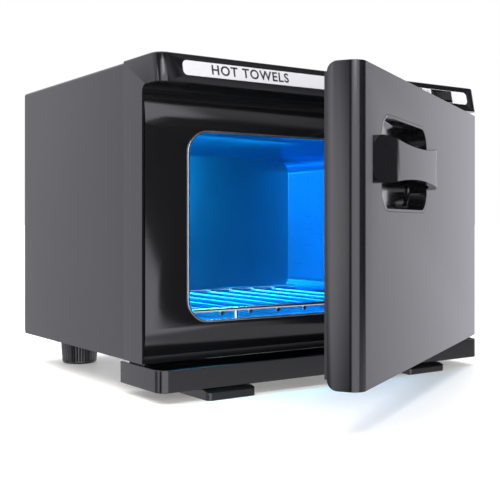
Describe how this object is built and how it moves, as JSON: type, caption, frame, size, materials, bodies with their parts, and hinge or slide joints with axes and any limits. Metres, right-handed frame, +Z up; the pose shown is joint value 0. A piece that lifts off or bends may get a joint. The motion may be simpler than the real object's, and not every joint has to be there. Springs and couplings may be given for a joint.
{
  "type": "hot towel cabinet",
  "caption": "Bench-top hot towel cabinet: insulated steel box, side-hinged door with a bridged cup handle, UV tube, wire rack and slide-out drip tray.",
  "frame": {"origin": "bottom centre of the whole object's box at rest, on the surface the feet stand on, door ajar", "axes": "+Z up, -Y out of the front of the cabinet, +X towards the hinge side"},
  "size_m": [0.3026, 0.3898, 0.2283],
  "materials": {
    "moulding": "satin dark grey",
    "strip": "gloss white label strip",
    "bright_trim": "polished",
    "switch_black": "gloss black",
    "casing_paint": "fine satin grey paint",
    "galvanised": "zinc coated",
    "black_plastic": "matt black",
    "aluminium": "satin anodised",
    "insulation": "pressed mineral wool board",
    "white_ceramic": "glazed",
    "lamp_glass": "clear tube",
    "white_plastic": "satin white",
    "bright_wire": "chromed wire",
    "steel": "zinc plated",
    "ferrite": "sintered",
    "foot_rubber": "matt black",
    "door_plastic": "satin silver grey",
    "gasket_rubber": "soft black",
    "gloss_black": "gloss black"
  },
  "bodies": {
    "cabinet": {"ballast": "galvanised", "base_pan": "galvanised", "casing_screws": "steel", "catch_magnet": "ferrite", "chamber_supports": "galvanised", "cord_gland": "black_plastic", "fascia_strip": "strip", "foot_screws": "steel", "front_foot_left": "foot_rubber", "front_foot_right": "foot_rubber", "front_frame": "moulding", "gland_nut": "black_plastic", "heat_switch": "switch_black", "heater_clamp": "galvanised", "heater_plate": "aluminium", "inner_chamber": "aluminium", "insulation_floor": "insulation", "insulation_left": "insulation", "insulation_rear": "insulation", "insulation_right": "insulation", "insulation_top": "insulation", "lamp_starter": "white_plastic", "lampholder_front": "white_plastic", "lampholder_rear": "white_plastic", "lower_bracket_screws": "steel", "lower_hinge_bracket": "steel", "lower_hinge_pin": "steel", "opening_trim": "bright_trim", "outer_shell": "casing_paint", "rear_foot_left": "foot_rubber", "rear_foot_right": "foot_rubber", "rear_panel": "casing_paint", "rear_panel_screws": "steel", "terminal_block": "white_plastic", "thermal_fuse": "white_ceramic", "thermostat": "black_plastic", "thrust_washer": "white_plastic", "tray_guides": "moulding", "upper_bracket_screws": "steel", "upper_hinge_bracket": "steel", "upper_hinge_pin": "steel", "uv_guard": "bright_wire", "uv_reflector": "aluminium", "uv_switch": "switch_black", "uv_tube": "lamp_glass"},
    "door": {"door_shell": "door_plastic", "lower_hinge_bush": "white_plastic", "upper_hinge_bush": "white_plastic", "door_inner_panel": "black_plastic", "door_screws": "steel", "door_gasket": "gasket_rubber", "door_insulation": "insulation", "strike_plate": "steel", "handle_cup": "gloss_black", "handle_grip": "door_plastic"},
    "heat_rocker": {"heat_rocker": "switch_black"},
    "uv_rocker": {"uv_rocker": "switch_black"},
    "drip_tray": {"drip_tray": "moulding"},
    "towel_rack": {"towel_rack": "bright_wire"}
  },
  "joints": [
    {"name": "door_hinge", "type": "hinge", "parent": "cabinet", "child": "door", "pos_m": [0.13821, -0.04212, 0.11535], "axis": [0, 0, 1], "range_deg": [-29.9, 60.1]},
    {"name": "heat_rocker_tip", "type": "hinge", "parent": "cabinet", "child": "heat_rocker", "pos_m": [0.10701, -0.05015, 0.21831], "axis": [0, 0.1952, 0.9808], "range_deg": [0, 14]},
    {"name": "uv_rocker_tip", "type": "hinge", "parent": "cabinet", "child": "uv_rocker", "pos_m": [0.07401, -0.05015, 0.21831], "axis": [0, 0.1952, 0.9808], "range_deg": [0, 14]},
    {"name": "drip_tray_slide", "type": "slide", "parent": "cabinet", "child": "drip_tray", "axis": [0, -1, 0], "range_m": [0, 0.042]},
    {"name": "towel_rack_lift", "type": "slide", "parent": "cabinet", "child": "towel_rack", "axis": [0, 0, 1], "range_m": [0, 0.02]}
  ]
}
